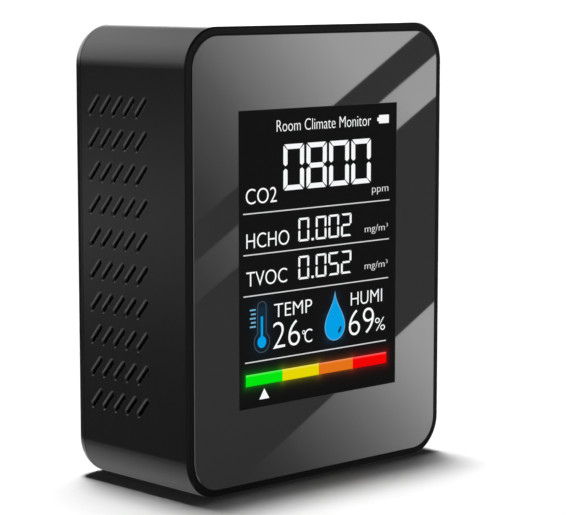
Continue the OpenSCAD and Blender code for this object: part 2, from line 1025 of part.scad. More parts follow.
// Insulated wire from the battery's end, forwards over the board's edge, down into the plug
module battery_lead(x)
{
    z_bend = battery_bottom_z - 0.3;
    z_low = z_bend - 2 * lead_bend_r;
    run = y_lead_top - y_plug - 2 * lead_bend_r;
    translate([x, y_lead_top, z_bend])
        cylinder(h = battery_bottom_z - z_bend, r = lead_r);
    translate([x, y_lead_top - lead_bend_r, z_bend])
        rotate([90, 0, 90])
            rotate_extrude(angle = -90)
                translate([lead_bend_r, 0])
                    circle(lead_r);
    pin_y(x, z_bend - lead_bend_r, lead_r, y_lead_top - lead_bend_r - run, y_lead_top - lead_bend_r);
    translate([x, y_plug + lead_bend_r, z_low])
        rotate([90, 0, 90])
            rotate([0, 0, 90])
                rotate_extrude(angle = 90)
                    translate([lead_bend_r, 0])
                        circle(lead_r);
    translate([x, y_plug, socket_bottom_z + socket_l])
        cylinder(h = z_low - socket_bottom_z - socket_l, r = lead_r);
}

module battery_lead_red()
{
    color([0.75, 0.08, 0.06])
        battery_lead(lead_x - lead_pitch / 2);
}

module battery_lead_black()
{
    color([0.05, 0.05, 0.05])
        battery_lead(lead_x + lead_pitch / 2);
}

module battery_plug()
{
    side = 0.9;
    color([0.94, 0.93, 0.9])
        box([lead_x - socket_w / 2 + side, y_plug - 1.2, socket_bottom_z + 1],
            [lead_x + socket_w / 2 - side, y_plug + 1.2, socket_bottom_z + socket_l]);
}

module battery_socket()
{
    side = 0.8;
    color([0.9, 0.88, 0.82])
        difference()
        {
            box([lead_x - socket_w / 2, y_socket, socket_bottom_z],
                [lead_x + socket_w / 2, y_power_board, socket_bottom_z + socket_l]);
            box([lead_x - socket_w / 2 + side, y_plug - 1.3, socket_bottom_z + 1],
                [lead_x + socket_w / 2 - side, y_plug + 1.3, socket_bottom_z + socket_l + cut]);
        }
}

// ---------- what is drawn ----------

housing();
back_cover();
case_screws();
front_panel();
panel_tape();
screen_lens();
display_polariser();
display_glass();
display_driver_chip();
backlight_frame();
light_guide();
backlight_leds();
display_flex();
flex_connector();
main_board();
main_board_screws();
controller_chip();
memory_chip();
board_capacitors();
co2_sensor_board();
co2_sensor_pins();
co2_sensor_chamber();
co2_sensor_filters();
hcho_sensor_can();
hcho_sensor_filter();
tvoc_sensor_base();
tvoc_sensor_cap();
humidity_sensor();
link_header();
link_socket();
power_board();
power_board_screws();
usb_port_shell();
usb_port_tongue();
charger_chip();
switch_body();
switch_cover();
switch_plunger();
power_button();
battery_cell();
battery_circuit_end();
battery_pad();
battery_lead_red();
battery_lead_black();
battery_plug();
battery_socket();
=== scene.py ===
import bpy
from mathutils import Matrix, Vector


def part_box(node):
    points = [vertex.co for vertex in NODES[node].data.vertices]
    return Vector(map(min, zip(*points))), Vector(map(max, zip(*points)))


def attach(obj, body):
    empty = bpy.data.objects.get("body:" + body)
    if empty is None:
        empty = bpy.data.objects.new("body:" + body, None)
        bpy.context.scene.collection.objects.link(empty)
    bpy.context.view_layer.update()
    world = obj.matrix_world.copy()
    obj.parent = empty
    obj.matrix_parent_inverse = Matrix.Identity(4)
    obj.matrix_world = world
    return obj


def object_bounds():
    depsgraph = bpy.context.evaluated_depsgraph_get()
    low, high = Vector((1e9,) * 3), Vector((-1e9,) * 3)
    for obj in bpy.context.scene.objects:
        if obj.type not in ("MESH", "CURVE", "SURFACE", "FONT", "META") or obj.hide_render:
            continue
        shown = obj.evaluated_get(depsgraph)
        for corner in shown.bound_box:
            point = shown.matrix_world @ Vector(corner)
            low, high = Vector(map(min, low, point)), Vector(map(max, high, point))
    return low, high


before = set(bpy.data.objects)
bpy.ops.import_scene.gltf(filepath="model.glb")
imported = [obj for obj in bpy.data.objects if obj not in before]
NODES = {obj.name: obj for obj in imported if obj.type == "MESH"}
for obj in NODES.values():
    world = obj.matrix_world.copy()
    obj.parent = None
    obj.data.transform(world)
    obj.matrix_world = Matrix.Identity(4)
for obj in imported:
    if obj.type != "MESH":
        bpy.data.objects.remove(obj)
cad_box = [list(corner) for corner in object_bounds()]

import math

import bmesh
import bpy
from mathutils import Vector

MM = 0.001
SCENE = bpy.context.scene

# ---------------------------------------------------------------- camera

CAMERA_PLACE = (-0.26171, -0.28304, 0.08805)
CAMERA_PITCH = 82.57  # degrees up from straight down
CAMERA_HEADING = -43.35  # degrees anticlockwise from looking along +Y

camera_data = bpy.data.cameras.new("camera")
camera_data.sensor_fit = "HORIZONTAL"
camera_data.sensor_width = 36.0
camera_data.lens = 136.5
camera_data.clip_start = 0.01
camera_data.clip_end = 100.0
camera = bpy.data.objects.new("camera", camera_data)
camera.location = CAMERA_PLACE
camera.rotation_euler = (math.radians(CAMERA_PITCH), 0.0, math.radians(CAMERA_HEADING))
SCENE.collection.objects.link(camera)
SCENE.camera = camera

SCENE.view_settings.view_transform = "Standard"
SCENE.view_settings.look = "None"

# ---------------------------------------------------------------- node helpers


class Tree:
    """A node tree with short calls for the nodes the materials and the sky need."""

    def __init__(self, tree):
        self.nodes, self.links = tree.nodes, tree.links
        self.nodes.clear()

    def new(self, kind, inputs=None, **settings):
        """A node. inputs gives its sockets a value, or another node's output."""
        node = self.nodes.new(kind)
        for key, value in settings.items():
            setattr(node, key, value)
        for key, value in (inputs or {}).items():
            if isinstance(value, bpy.types.NodeSocket):
                self.links.new(value, node.inputs[key])
            else:
                node.inputs[key].default_value = value
        return node

    def math(self, operation, a, b=0.0, c=0.0):
        return self.new("ShaderNodeMath", {0: a, 1: b, 2: c}, operation=operation).outputs[0]

    def product(self, *parts):
        result = parts[0]
        for part in parts[1:]:
            result = self.math("MULTIPLY", result, part)
        return result

    def total(self, *parts):
        result = parts[0]
        for part in parts[1:]:
            result = self.math("ADD", result, part)
        return result

    def noise(self, vector, scale, detail, roughness=0.5):
        inputs = {"Vector": vector, "Scale": scale, "Detail": detail, "Roughness": roughness}
        return self.new("ShaderNodeTexNoise", inputs).outputs["Fac"]

    def spread(self, value, low_in, high_in, low_out, high_out, smooth=False):
        """Maps one range onto another, and holds the end values outside it."""
        inputs = {0: value, 1: low_in, 2: high_in, 3: low_out, 4: high_out}
        shape = "SMOOTHSTEP" if smooth else "LINEAR"
        return self.new("ShaderNodeMapRange", inputs, interpolation_type=shape).outputs[0]

    def share(self, value, start, end):
        """How far value has gone from start to end: 0 before it, and 1 past it."""
        return self.spread(value, start, end, 0.0, 1.0)

    def vary(self, noise, low, high):
        """Spreads a noise's usual range, 0.3 to 0.7, over low to high."""
        return self.spread(noise, 0.3, 0.7, low, high)

    def rise(self, value, low, high):
        """0 below low, 1 above high, and a smooth step between."""
        return self.spread(value, low, high, 0.0, 1.0, True)

    def fall(self, value, low, high):
        """1 below low, 0 above high, and a smooth step between."""
        return self.spread(value, low, high, 1.0, 0.0, True)

    def ramp(self, factor, stops):
        """Colours, or plain grey values, at places from 0 to 1."""
        node = self.new("ShaderNodeValToRGB", {0: factor})
        elements = node.color_ramp.elements
        while len(elements) > 1:
            elements.remove(elements[-1])
        for i, (place, colour) in enumerate(stops):
            element = elements[0] if i == 0 else elements.new(place)
            element.position = place
            element.color = rgba(colour if isinstance(colour, tuple) else (colour,) * 3)
        return node.outputs[0]

    def mix(self, factor, a, b):
        """A blend of two colours, whose sockets are the node's 6 and 7."""
        return self.new("ShaderNodeMix", {0: factor, 6: a, 7: b}, data_type="RGBA").outputs[2]

    def where(self):
        """Object coordinates."""
        return self.new("ShaderNodeTexCoord").outputs["Object"]

    def axes(self, vector):
        """The X, Y and Z of a vector."""
        return self.new("ShaderNodeSeparateXYZ", {0: vector}).outputs


def rgba(colour):
    return (*colour, 1.0)


def shade(colour, k):
    return tuple(min(1.0, c * k) for c in colour)


def surface(name, build, **constants):
    """A Principled material. build(tree, shader) adds the inputs that vary, and the constants are set on the
    shader's own sockets."""
    material = bpy.data.materials.new(name)
    material.use_nodes = True
    tree = Tree(material.node_tree)
    shader = tree.new("ShaderNodeBsdfPrincipled")
    tree.new("ShaderNodeOutputMaterial", {0: shader.outputs[0]})
    for key, value in constants.items():
        shader.inputs[key.replace("_", " ")].default_value = value
    build(tree, shader)
    return material


def dress(tree, shader, tone, rough, height, strength, depth):
    """Joins a material's colour, roughness and fine relief to its shader, and returns the relief's node."""
    tree.links.new(tone, shader.inputs["Base Color"])
    tree.links.new(rough, shader.inputs["Roughness"])
    relief = tree.new("ShaderNodeBump", {"Height": height, "Strength": strength, "Distance": depth})
    tree.links.new(relief.outputs[0], shader.inputs["Normal"])
    return relief


# ---------------------------------------------------------------- kinds of material

GRAIN_DEPTH = 0.03 * MM
EDGE_SAMPLES = 6
SHELL = (0.0088, 0.0088, 0.0090)
# Light tone of the vents' bevels: a painted highlight along the slot edges.
VENT_BEVEL_HIGHLIGHT = (0.055, 0.055, 0.056)
PANEL_DARK, PANEL_PALE = (0.0105, 0.0105, 0.0110), (0.0125, 0.0125, 0.0130)
CLEAR_DARK, CLEAR_PALE = (0.50, 0.56, 0.57), (0.54, 0.60, 0.61)


def moulded(name, colour, rough, grain=5200.0, bump=0.12):
    """Moulded plastic: fine spark-eroded grain, with slight drift of tone and gloss."""

    def build(tree, shader):
        where = tree.where()
        slow = tree.noise(where, 60.0, 3.0)
        fine = tree.noise(where, grain, 2.0, 0.6)
        tone = tree.mix(slow, rgba(shade(colour, 0.88)), rgba(shade(colour, 1.12)))
        gloss = tree.spread(slow, 0.2, 0.8, rough - 0.015, rough + 0.015, True)
        dress(tree, shader, tone, gloss, fine, bump, GRAIN_DEPTH)

    return surface(name, build)


def shell_plastic():
    """Black moulded shell: fine grain, a painted shade that darkens the chamfer round the rim, and a painted
    highlight that lightens the bevels on the vents.
    """
    low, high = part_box("housing")
    front_margin, rear_margin, end_margin = 8.5 * MM, 1.0 * MM, 9.0 * MM  # round the field of vents
    fade = 0.5 * MM
    # The bevels lie within these limits, each faded in from its first value to its second.
    bevel_field = (
        ("y", low.y + front_margin, low.y + front_margin + fade),
        ("y", high.y - rear_margin, high.y - rear_margin - fade),
        ("z", low.z + end_margin, low.z + end_margin + fade),
        ("z", high.z - end_margin, high.z - end_margin - fade),
        ("depth", 0.02 * MM, 0.10 * MM),
        ("depth", 0.62 * MM, 0.45 * MM),
    )

    def build(tree, shader):
        where = tree.where()
        x, y, z = tree.axes(where)
        depth = tree.math("SUBTRACT", high.x, tree.math("ABSOLUTE", x))  # under the side wall's face
        slow = tree.noise(where, 60.0, 3.0)
        fine = tree.noise(where, 6500.0, 2.0, 0.6)
        measures = {"y": y, "z": z, "depth": depth}
        bevel = tree.product(*[tree.share(measures[key], start, end) for key, start, end in bevel_field])
        chamfer = tree.product(tree.share(y, low.y + 0.02 * MM, low.y + 0.06 * MM),
                               tree.share(y, low.y + 0.36 * MM, low.y + 0.30 * MM))
        tone = tree.mix(slow, rgba(shade(SHELL, 0.96)), rgba(shade(SHELL, 1.04)))
        tone = tree.mix(tree.vary(fine, 0.0, 1.0), tone, rgba(shade(SHELL, 1.5)))
        # Painted highlight: the vents' bevels take a much lighter tone, standing in for the light line along
        # each slot's edge.
        tone = tree.mix(bevel, tone, rgba(VENT_BEVEL_HIGHLIGHT))
        # Painted shade: the chamfer round the rim's front is darkened to a fifth of the shell's tone.
        tone = tree.mix(chamfer, tone, rgba(shade(SHELL, 0.2)))
        gloss = tree.spread(slow, 0.2, 0.8, 0.195, 0.21, True)
        relief = dress(tree, shader, tone, gloss, fine, 0.08, GRAIN_DEPTH)
        soft_edge = tree.new("ShaderNodeBevel", {"Radius": 0.12 * MM}, samples=EDGE_SAMPLES)
        tree.links.new(soft_edge.outputs[0], relief.inputs["Normal"])

    return surface("case_plastic", build, Specular_IOR_Level=0.15)


def glossy_panel():
    """Black panel polished almost to a mirror, with a trace of haze and slightly eased edges."""

    def build(tree, shader):
        haze = tree.noise(tree.where(), 45.0, 4.0, 0.6)
        tree.links.new(tree.mix(haze, rgba(PANEL_DARK), rgba(PANEL_PALE)), shader.inputs["Base Color"])
        tree.links.new(tree.vary(haze, 0.006, 0.014), shader.inputs["Roughness"])
        soft_edge = tree.new("ShaderNodeBevel", {"Radius": 0.08 * MM}, samples=EDGE_SAMPLES)
        tree.links.new(soft_edge.outputs[0], shader.inputs["Normal"])

    return surface("panel_gloss", build, IOR=2.3)


def clear_sheet(name, **constants):
    """Glass or clear plastic with a little haze."""

    def build(tree, shader):
        haze = tree.noise(tree.where(), 80.0, 2.0)
        tree.links.new(tree.vary(haze, 0.03, 0.08), shader.inputs["Roughness"])
        tree.links.new(tree.mix(haze, rgba(CLEAR_DARK), rgba(CLEAR_PALE)), shader.inputs["Base Color"])

    return surface(name, build, **constants)


def metal(name, colour, rough=0.28):
    """Drawn or plated metal with fine streaks along Y."""

    def build(tree, shader):
        stretch = {"Vector": tree.where(), "Scale": (900.0, 60.0, 900.0)}
        lines = tree.noise(tree.new("ShaderNodeMapping", stretch).outputs[0], 6.0, 3.0, 0.6)
        tone = tree.mix(lines, rgba(shade(colour, 0.86)), rgba(shade(colour, 1.1)))
        gloss = tree.vary(lines, rough - 0.07, rough + 0.09)
        dress(tree, shader, tone, gloss, lines, 0.08, 0.02 * MM)

    return surface(name, build, Metallic=1.0)


def circuit(name, mask, trace):
    """Solder mask with slightly raised copper traces on a grid."""

    def build(tree, shader):
        where = tree.where()
        x, _, z = tree.axes(where)
        face = tree.new("ShaderNodeCombineXYZ", {0: x, 1: z, 2: 0.0}).outputs[0]
        cells = tree.new("ShaderNodeTexBrick", {
            "Vector": face, "Scale": 260.0, "Mortar Size": 0.03, "Color1": rgba((0, 0, 0)),
            "Color2": rgba((0.15, 0.15, 0.15)), "Mortar": rgba((1, 1, 1))}).outputs["Color"]
        weave = tree.noise(where, 2200.0, 1.0)
        tone = tree.mix(cells, rgba(mask), rgba(trace))
        tone = tree.mix(tree.vary(weave, 0.0, 0.15), tone, rgba(shade(mask, 0.5)))
        gloss = tree.vary(weave, 0.25, 0.4)
        dress(tree, shader, tone, gloss, cells, 0.3, 0.04 * MM)

    return surface(name, build)


def porous(name, colour):
    """Porous membrane."""

    def build(tree, shader):
        pores = tree.noise(tree.where(), 3000.0, 4.0, 0.7)
        tone = tree.ramp(pores, [(0.35, shade(colour, 0.7)), (0.6, colour)])
        gloss = tree.vary(pores, 0.8, 0.95)
        dress(tree, shader, tone, gloss, pores, 0.5, 0.08 * MM)

    return surface(name, build)


def crinkled_foil(name, colour):
    """Thin metal wrapping with soft creases."""

    def build(tree, shader):
        folds = tree.noise(tree.where(), 260.0, 5.0, 0.6)
        tone = tree.mix(folds, rgba(shade(colour, 0.85)), rgba(colour))
        gloss = tree.vary(folds, 0.25, 0.42)
        dress(tree, shader, tone, gloss, folds, 0.25, 0.2 * MM)

    return surface(name, build, Metallic=0.9)


# ---------------------------------------------------------------- screen layout

# The screen's picture is laid out in millimetres, and its middle is at LAYOUT_X, LAYOUT_Z. It is scaled a
# little to fill the lens.
LAYOUT_W, LAYOUT_H = 38.75, 51.26
LAYOUT_X, LAYOUT_Z = -0.25, 0.14
LENS_LOW, LENS_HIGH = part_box("screen_lens")
LENS_Y = LENS_LOW.y
LENS_X = (LENS_LOW.x + LENS_HIGH.x) / 2
LENS_Z = (LENS_LOW.z + LENS_HIGH.z) / 2
UNIT_X = (LENS_HIGH.x - LENS_LOW.x) / LAYOUT_W
UNIT_Z = (LENS_HIGH.z - LENS_LOW.z) / LAYOUT_H
LIT_T = 0.03 * MM  # thickness of a lit piece

LENS_DARK, LENS_PALE = 0.0075, 0.0100
LENS_GLOW = (0.0016, 0.0016, 0.0017)
UNLIT = (0.003, 0.003, 0.003)
BAR_LOW, BAR_HIGH = -21.65, -19.62
BAR_SPLITS = (-18.06, -9.35, -0.48, 8.09, 16.83)
BAR_COLOURS = {"green": (0.0, 0.79, 0.004), "yellow": (0.79, 0.68, 0.0), "orange": (0.78, 0.17, 0.008),
               "red": (0.90, 0.0, 0.0)}
DROP_COLOUR = (0.0, 0.35, 0.80)
DROP_X, DROP_Z, DROP_R = 3.56, -13.42, 2.42
DROP_TOP = -7.30
BULB_X, BULB_Z, BULB_R = -14.29, -14.20, 1.80
TUBE_R = 1.02
TUBE_TOP = -8.16


def on_screen(x, z):
    """The place on the lens, in metres, of a point of the layout."""
    return LENS_X + (x - LAYOUT_X) * UNIT_X, LENS_Z + (z - LAYOUT_Z) * UNIT_Z


def layout_x(tree, x):
    """The layout's X, from the object's X in metres."""
    return tree.math("MULTIPLY_ADD", x, 1 / UNIT_X, LAYOUT_X - LENS_X / UNIT_X)


def layout_z(tree, z):
    """The layout's Z, from the object's Z in metres."""
    return tree.math("MULTIPLY_ADD", z, 1 / UNIT_Z, LAYOUT_Z - LENS_Z / UNIT_Z)


def halos():
    """The lit shapes that throw a halo, as (left, right, bottom, top, reach, strength, colour)."""
    rows = []
    for left, right, colour in zip(BAR_SPLITS, BAR_SPLITS[1:], BAR_COLOURS.values()):
        rows.append((left, right, BAR_LOW, BAR_HIGH, 0.45, 0.16, colour))
    rows.append((DROP_X - 1.5, DROP_X + 1.5, DROP_Z - 1.8, DROP_Z + 1.6, 0.55, 0.14, DROP_COLOUR))
    rows.append((DROP_X - 0.2, DROP_X + 0.2, DROP_Z, DROP_TOP - 1.0, 0.5, 0.08, DROP_COLOUR))
    rows.append((BULB_X - 0.71, BULB_X + 0.69, BULB_Z - 0.8, BULB_Z + 5.9, 0.8, 0.05, DROP_COLOUR))
    return rows


def lens_material():
    """Dark anti-glare lens with the soft halo that the lit colours throw into it."""

    def beyond(tree, value, low, high):
        """How far value lies outside low to high."""
        away = tree.math("ABSOLUTE", tree.math("SUBTRACT", value, (low + high) / 2))
        return tree.math("MAXIMUM", tree.math("SUBTRACT", away, (high - low) / 2), 0.0)

    def build(tree, shader):
        where = tree.where()
        x, _, z = tree.axes(where)
        across, up = layout_x(tree, x), layout_z(tree, z)
        glow = LENS_GLOW
        for left, right, bottom, top, reach, strength, colour in halos():
            dx, dz = beyond(tree, across, left, right), beyond(tree, up, bottom, top)
            span = tree.math("SQRT", tree.total(tree.product(dx, dx), tree.product(dz, dz)))
            level = tree.product(tree.math("EXPONENT", tree.product(span, -1.0 / reach)), strength)
            halo = tree.new("ShaderNodeVectorMath", {0: colour, 3: level}, operation="SCALE").outputs[0]
            glow = tree.new("ShaderNodeVectorMath", {0: glow, 1: halo}, operation="ADD").outputs[0]
        tree.links.new(glow, shader.inputs["Emission Color"])
        sparkle = tree.noise(where, 9000.0, 1.0)
        tone = tree.ramp(sparkle, [(0.3, LENS_DARK), (0.7, LENS_PALE)])
        tree.links.new(tone, shader.inputs["Base Color"])
        tree.links.new(tree.vary(sparkle, 0.42, 0.5), shader.inputs["Roughness"])

    return surface("screen_lens_dark", build, Emission_Strength=1.0, Specular_IOR_Level=0.04)


def lit_surface(name, build):
    return surface(name, build, Base_Color=rgba(UNLIT), Emission_Strength=1.0, Specular_IOR_Level=0.0)


def lit(name, colour):
    """Lit screen area: steady colour with a faint pixel pattern."""

    def build(tree, shader):
        stripes = {"Vector": tree.where(), "Scale": 3000.0, "Distortion": 0.0}
        rows = tree.new("ShaderNodeTexWave", stripes, wave_type="BANDS", bands_direction="Z").outputs["Fac"]
        glow = tree.mix(tree.spread(rows, 0.0, 1.0, 0.0, 0.06), rgba(colour), rgba(shade(colour, 0.6)))
        tree.links.new(glow, shader.inputs["Emission Color"])
        tree.links.new(tree.spread(rows, 0.0, 1.0, 0.5, 0.6), shader.inputs["Roughness"])

    return lit_surface(name, build)


def graded_bar(name, colour):
    """Lit bar that is a little darker along the bottom and brighter along the top."""
    bright = tuple(min(1.0, c + 0.12) for c in colour)

    def build(tree, shader):
        z = tree.axes(tree.where())[2]
        up = tree.share(layout_z(tree, z), BAR_LOW, BAR_HIGH)
        glow = tree.ramp(up, [(0.0, shade(colour, 0.86)), (0.12, colour), (0.8, colour), (1.0, bright)])
        tree.links.new(glow, shader.inputs["Emission Color"])
        tree.links.new(tree.spread(up, 0.0, 1.0, 0.5, 0.6), shader.inputs["Roughness"])

    return lit_surface(name, build)


# ---------------------------------------------------------------- making pieces and outlines

BODY = "case"


def add_piece(name, mesh, material):
    piece = bpy.data.objects.new(name, mesh)
    SCENE.collection.objects.link(piece)
    mesh.materials.clear()
    mesh.materials.append(material)
    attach(piece, BODY)


def plates(name, outlines, material, lift=0.0):
    """A piece of thin closed plates on the lens, from outlines of points of the layout."""
    made = bmesh.new()
    for outline in outlines:
        pairs = list(zip(outline, outline[1:] + outline[:1]))
        area = sum(a[0] * b[1] - b[0] * a[1] for a, b in pairs)
        points = outline if area > 0 else outline[::-1]
        places = [on_screen(x, z) for x, z in points]
        front = [made.verts.new((x, LENS_Y - LIT_T - lift, z)) for x, z in places]
        back = [made.verts.new((x, LENS_Y - lift, z)) for x, z in places]
        made.faces.new(front)
        made.faces.new(back[::-1])
        for i in range(len(points)):
            made.faces.new((front[i - 1], back[i - 1], back[i], front[i]))
    bmesh.ops.recalc_face_normals(made, faces=made.faces)
    mesh = bpy.data.meshes.new(name)
    made.to_mesh(mesh)
    made.free()
    add_piece(name, mesh, material)


def word_mesh(text, weight):
    """A word as a thin mesh, its strokes made bolder or finer by weight."""
    curve = bpy.data.curves.new("word", "FONT")
    curve.body = text
    curve.size = 1.0
    curve.offset = weight
    curve.extrude = 0.05
    curve.resolution_u = 6
    holder = bpy.data.objects.new("word", curve)
    SCENE.collection.objects.link(holder)
    bpy.context.view_layer.update()
    flat = bpy.data.meshes.new_from_object(holder.evaluated_get(bpy.context.evaluated_depsgraph_get()))
    bpy.data.objects.remove(holder)
    bpy.data.curves.remove(curve)
    return flat


def lettering(name, words, material):
    """A piece of flat words. Each is (text, left, right, bottom, top, weight), in the layout."""
    made = bmesh.new()
    for text, left, right, bottom, top, weight in words:
        flat = word_mesh(text, weight)
        xs = [v.co.x for v in flat.vertices]
        ys = [v.co.y for v in flat.vertices]
        scale_x = (right - left) / (max(xs) - min(xs))
        scale_z = (top - bottom) / (max(ys) - min(ys))
        for v in flat.vertices:
            x, z = on_screen(left + (v.co.x - min(xs)) * scale_x, bottom + (v.co.y - min(ys)) * scale_z)
            v.co = (x, LENS_Y - (LIT_T if v.co.z > 0 else 0.0), z)
        made.from_mesh(flat)
        bpy.data.meshes.remove(flat)
    bmesh.ops.remove_doubles(made, verts=made.verts, dist=1e-7)
    bmesh.ops.recalc_face_normals(made, faces=made.faces)
    mesh = bpy.data.meshes.new(name)
    made.to_mesh(mesh)
    made.free()
    add_piece(name, mesh, material)


def rect(left, right, bottom, top):
    return [(left, bottom), (right, bottom), (right, top), (left, top)]


def arc(x, z, r, start, end, steps):
    """Points of an arc between two angles in degrees."""
    turns = [math.radians(start + (end - start) * i / steps) for i in range(steps + 1)]
    return [(x + r * math.cos(turn), z + r * math.sin(turn)) for turn in turns]


def ribbon(path, width):
    """Closed strips, one per step of a closed path, with shared ends: an outlined shape."""
    n = len(path)
    inner, outer = [], []
    for i in range(n):
        along = (Vector(path[(i + 1) % n]) - Vector(path[i - 1])).normalized()
        across = Vector((-along.y, along.x)) * width / 2
        inner.append(tuple(Vector(path[i]) + across))
        outer.append(tuple(Vector(path[i]) - across))
    return [[inner[i - 1], inner[i], outer[i], outer[i - 1]] for i in range(n)]


# The lit bars of each seven-segment figure: a is at the top, b to f follow clockwise, and g is across.
LIT_BARS = {"0": "abcdef", "2": "abged", "5": "afgcd", "8": "abcdefg"}


def digit(text, x, z, width, height, side, level, gap):
    """Seven-segment figure with mitred ends. x, z is its lower left corner, and side and level are the
    widths of its upright and level bars."""
    w, h = width / 2, height / 2
    flat_bar = [(gap - w, h), (w - gap, h), (w - side - 0.2 * gap, h - level),
                (side + 0.2 * gap - w, h - level)]
    side_bar = [(-w, h - gap), (side - w, h - level - 0.6 * gap), (side - w, level / 2 + 0.3 * gap),
                (side / 2 - w, gap), (-w, gap + 0.45 * level)]
    half_cross = [(side / 2 + gap - w, 0), (side + 0.3 * gap - w, level / 2),
                  (w - side - 0.3 * gap, level / 2)]
    cross_bar = half_cross + [(-across, -up) for across, up in half_cross]
    bars = {"a": (flat_bar, 1, 1), "b": (side_bar, -1, 1), "c": (side_bar, -1, -1), "d": (flat_bar, 1, -1),
            "e": (side_bar, 1, -1), "f": (side_bar, 1, 1), "g": (cross_bar, 1, 1)}
    outlines = []
    for name in LIT_BARS[text]:
        bar, turn_x, turn_z = bars[name]
        outlines.append([(x + w + turn_x * across, z + h + turn_z * up) for across, up in bar])
    return outlines


# ---------------------------------------------------------------- the screen's picture

white = lit("lit_white", (0.93, 0.95, 0.96))
soft_white = lit("lit_soft_white", (0.68, 0.69, 0.70))
unit_white = lit("lit_unit_white", (0.76, 0.77, 0.78))
blue = lit("lit_blue", DROP_COLOUR)
pale_blue = lit("lit_pale_blue", (0.16, 0.42, 0.62))
dim_blue = lit("lit_dim_blue", (0.055, 0.075, 0.095))
dark = lit("lit_dark", (0.004, 0.03, 0.08))

# The carbon dioxide reading
BIG_FIGURE = {"width": 4.95, "height": 7.98, "side": 0.95, "level": 0.86, "gap": 0.22}
big_outlines = []
for i, figure in enumerate("0800"):
    big_outlines += digit(figure, -9.14 + 5.573 * i, 11.68, **BIG_FIGURE)
plates("co2_reading", big_outlines, white)

# The two gas readings, 0.002 and 0.052
SMALL_FIGURE = {"width": 2.62, "height": 4.12, "side": 0.44, "level": 0.36, "gap": 0.13}
SMALL_FIGURE_X = (-5.53, -1.27, 1.89, 5.04)
small_outlines = []
for figures, low in (("0002", 2.49), ("0052", -4.19)):
    for x, figure in zip(SMALL_FIGURE_X, figures):
        small_outlines += digit(figure, x, low, **SMALL_FIGURE)
    small_outlines.append(rect(-2.32, -1.78, low - 0.02, low + 0.40))
plates("gas_readings", small_outlines, white)

# Lines between the rows, each from left to right at a height
DIVIDERS = ((-18.63, 17.44, 8.245), (-18.57, 17.38, 1.152), (-18.58, 17.21, -5.945),
            (-18.23, 16.71, -17.469))
HALF_LINE = 0.095
plates("divider_lines", [rect(left, right, z - HALF_LINE, z + HALF_LINE) for left, right, z in DIVIDERS],
       soft_white)

lettering("screen_labels", [
    ("CO2", -17.99, -10.74, 9.86, 12.50, -0.009),
    ("HCHO", -17.89, -7.76, 2.26, 4.82, -0.009),
    ("TVOC", -17.92, -8.27, -4.30, -1.76, -0.009),
    ("TEMP", -11.36, -2.18, -10.25, -7.90, -0.010),
    ("HUMI", 7.58, 15.66, -10.16, -7.80, -0.010),
    ("26", -11.63, -5.14, -15.74, -11.12, -0.016),
    ("69", 7.12, 13.57, -15.60, -10.96, -0.016),
    ("Room Climate Monitor", -10.74, 12.55, 21.93, 23.90, -0.014),
    ("°", -4.56, -3.86, -14.00, -13.26, 0.0),
    ("C", -4.02, -2.11, -15.55, -13.14, -0.008),
    ("%", 13.87, 16.48, -15.46, -13.06, -0.010),
], white)
lettering("screen_units", [
    ("ppm", 12.92, 17.13, 9.42, 10.74, -0.014),
    ("mg/m³", 11.10, 17.06, 2.38, 4.06, -0.014),
    ("mg/m³", 11.10, 17.06, -4.30, -2.62, -0.014),
], unit_white)

# The coloured scale and its pointer, and the battery symbol
for left, right, (name, colour) in zip(BAR_SPLITS, BAR_SPLITS[1:], BAR_COLOURS.items()):
    plates("scale_" + name, [rect(left, right, BAR_LOW, BAR_HIGH)], graded_bar("lit_" + name, colour))
plates("scale_pointer", [[(-14.89, -24.22), (-12.57, -24.22), (-13.73, -22.40)]], white)
plates("charge_symbol", [rect(14.62, 17.15, 22.20, 23.70), rect(14.18, 14.60, 22.62, 23.26)], white)


def drop_outline(grow):
    """A drop whose sides fall away from the tip on a raised cosine, grown outwards by grow."""
    radius, tip = DROP_R + grow, DROP_TOP + 2.5 * grow
    sides = []
    for i in range(1, 16):
        t = i / 16
        width = radius * (0.48 * (1 + math.cos(math.pi * t)) + 0.04 * (1 - t))
        sides.append((width, DROP_Z + (tip - DROP_Z) * t))
    rising = [(DROP_X + w, z) for w, z in sides]
    falling = [(DROP_X - w, z) for w, z in reversed(sides)]
    return arc(DROP_X, DROP_Z, radius, -180, 0, 28) + rising + [(DROP_X, tip)] + falling


plates("water_drop", [drop_outline(0.0)], blue)
plates("water_drop_edge", ribbon(drop_outline(0.07), 0.13), pale_blue)
crescent = arc(DROP_X, DROP_Z, 1.66, -56, -6, 12)
crescent += arc(DROP_X - 0.32, DROP_Z + 0.26, 1.58, -14, -48, 12)
plates("water_drop_shade", [crescent], dark, lift=LIT_T)


def bulb_outline(radius, stem, steps):
    """The bulb's circle, anticlockwise from one side of a stem to the other; stem is its half width."""
    opening = math.degrees(math.asin(stem / radius))
    return arc(BULB_X, BULB_Z, radius, 90 + opening, 450 - opening, steps)


tube = bulb_outline(BULB_R, TUBE_R, 40) + arc(BULB_X, TUBE_TOP, TUBE_R, 0, 180, 16)
plates("thermometer_outline", ribbon(tube, 0.16), dim_blue)
COLUMN_BULB_R, COLUMN_HALF_W, COLUMN_TOP = 1.02, 0.24, -9.72
column = bulb_outline(COLUMN_BULB_R, COLUMN_HALF_W, 32)
column += [(BULB_X + COLUMN_HALF_W, COLUMN_TOP), (BULB_X - COLUMN_HALF_W, COLUMN_TOP)]
plates("thermometer_column", [column], blue)

TICKS, TICK_TOP, TICK_PITCH, HALF_TICK = 5, -8.42, 0.73, 0.14
ticks = []
for i in range(TICKS):
    left = -16.85 if i % 2 else -17.10
    z = TICK_TOP - TICK_PITCH * i
    ticks.append(rect(left, -15.75, z - HALF_TICK, z + HALF_TICK))
plates("thermometer_ticks", ticks, pale_blue)

# ---------------------------------------------------------------- materials on the CAD nodes

